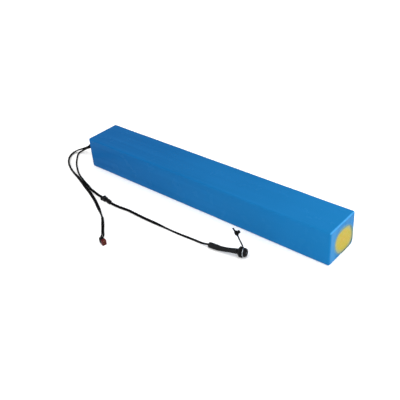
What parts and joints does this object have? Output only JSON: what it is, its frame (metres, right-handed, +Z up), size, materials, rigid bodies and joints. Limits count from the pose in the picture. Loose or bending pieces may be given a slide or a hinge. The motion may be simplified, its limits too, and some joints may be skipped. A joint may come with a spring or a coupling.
{
  "type": "lithium battery pack",
  "caption": "Long shrink-wrapped lithium battery pack with a discharge cable and plug, and a charge lead with an inline connector and a capped round charge port.",
  "frame": {"origin": "centre of the pack's underside, cords left out", "axes": "+X along the pack's length towards the end whose board shows, +Y across the pack away from the cord side, +Z up"},
  "size_m": [0.5909, 0.2324, 0.0596],
  "materials": {
    "blue_film": "satin blue heat-shrink film",
    "board_yellow": "matte yellow glass-fibre board",
    "insulation": "matte grey-green insulation board",
    "cell_wrap": "teal cell wrap",
    "nickel": "bright nickel",
    "copper": "bare copper",
    "contact": "gilt brass",
    "heat_plate": "plain aluminium",
    "circuit": "green solder mask",
    "ribbon": "white ribbon and plug",
    "rubber": "matte black rubber",
    "housing_black": "satin black moulding",
    "housing_red": "satin dark red moulding"
  },
  "bodies": {
    "pack": {"heat_shrink_sleeve": "blue_film", "end_board_near": "board_yellow", "end_board_cable": "board_yellow", "insulation_tray": "insulation", "top_board": "board_yellow", "cell_brick_01": "cell_wrap", "cell_brick_02": "cell_wrap", "cell_brick_03": "cell_wrap", "cell_brick_04": "cell_wrap", "cell_brick_05": "cell_wrap", "cell_brick_06": "cell_wrap", "cell_brick_07": "cell_wrap", "cell_brick_08": "cell_wrap", "cell_brick_09": "cell_wrap", "cell_brick_10": "cell_wrap", "cell_brick_11": "cell_wrap", "cell_brick_12": "cell_wrap", "cell_brick_13": "cell_wrap", "nickel_strip_front_1": "nickel", "nickel_strip_front_2": "nickel", "nickel_strip_front_3": "nickel", "nickel_strip_front_4": "nickel", "nickel_strip_front_5": "nickel", "nickel_strip_front_6": "nickel", "nickel_strip_front_7": "nickel", "nickel_strip_back_1": "nickel", "nickel_strip_back_2": "nickel", "nickel_strip_back_3": "nickel", "nickel_strip_back_4": "nickel", "nickel_strip_back_5": "nickel", "nickel_strip_back_6": "nickel", "nickel_strip_back_7": "nickel", "bms_board": "circuit", "bms_heat_plate": "heat_plate", "balance_harness": "ribbon", "positive_lead": "copper", "negative_lead": "copper", "output_lead": "copper", "cable_grommet": "rubber", "discharge_cable": "rubber", "discharge_collar": "rubber", "discharge_wire_positive": "rubber", "discharge_wire_negative": "rubber", "discharge_boot": "rubber", "discharge_plug": "housing_red", "discharge_contact_positive": "contact", "discharge_contact_negative": "contact", "charge_lead": "rubber", "inline_receptacle": "housing_black"},
    "port_assembly": {"inline_plug": "housing_black", "port_cable": "rubber", "port_sleeve": "rubber", "charge_port_body": "housing_black", "charge_port_pin": "nickel", "dust_cap_ring": "rubber"},
    "latch": {"inline_latch": "housing_black"},
    "washer": {"port_washer": "nickel"},
    "nut": {"port_nut": "housing_black"},
    "cap_strap": {"dust_cap_strap": "rubber"},
    "cap": {"dust_cap_plug": "rubber"}
  },
  "joints": [
    {"name": "inline_unplug", "type": "slide", "parent": "pack", "child": "port_assembly", "axis": [0.9903, -0.1392, 0], "range_m": [0, 0.0095]},
    {"name": "latch_press", "type": "hinge", "parent": "port_assembly", "child": "latch", "pos_m": [-0.13954, -0.10596, 0.0062], "axis": [0.1392, 0.9903, 0], "range_deg": [0, 8], "stiffness_Nm_per_rad": 0.02},
    {"name": "nut_turn", "type": "hinge", "parent": "washer", "child": "nut", "pos_m": [0.1436, -0.0891, 0.00845], "axis": [0.9336, 0.3584, 0], "range_deg": [0, 960.1]},
    {"name": "washer_travel", "type": "slide", "parent": "port_assembly", "child": "washer", "axis": [0.9336, 0.3584, 0], "range_m": [0, 0.002]},
    {"name": "strap_swing", "type": "hinge", "parent": "port_assembly", "child": "cap_strap", "pos_m": [0.14155, -0.08697, 0.01859], "axis": [-0.3462, 0.9018, -0.2588], "range_deg": [0, 119], "stiffness_Nm_per_rad": 0.004},
    {"name": "cap_fold", "type": "hinge", "parent": "cap_strap", "child": "cap", "pos_m": [0.1358, -0.08657, 0.02769], "axis": [-0.3462, 0.9018, -0.2588], "range_deg": [0, 97.2]}
  ],
  "couplings": [
    {"joint": "nut_turn", "follows": "washer_travel", "rad_per_m": 8377.6},
    {"joint": "cap_fold", "follows": "strap_swing", "ratio": 0.8168}
  ]
}
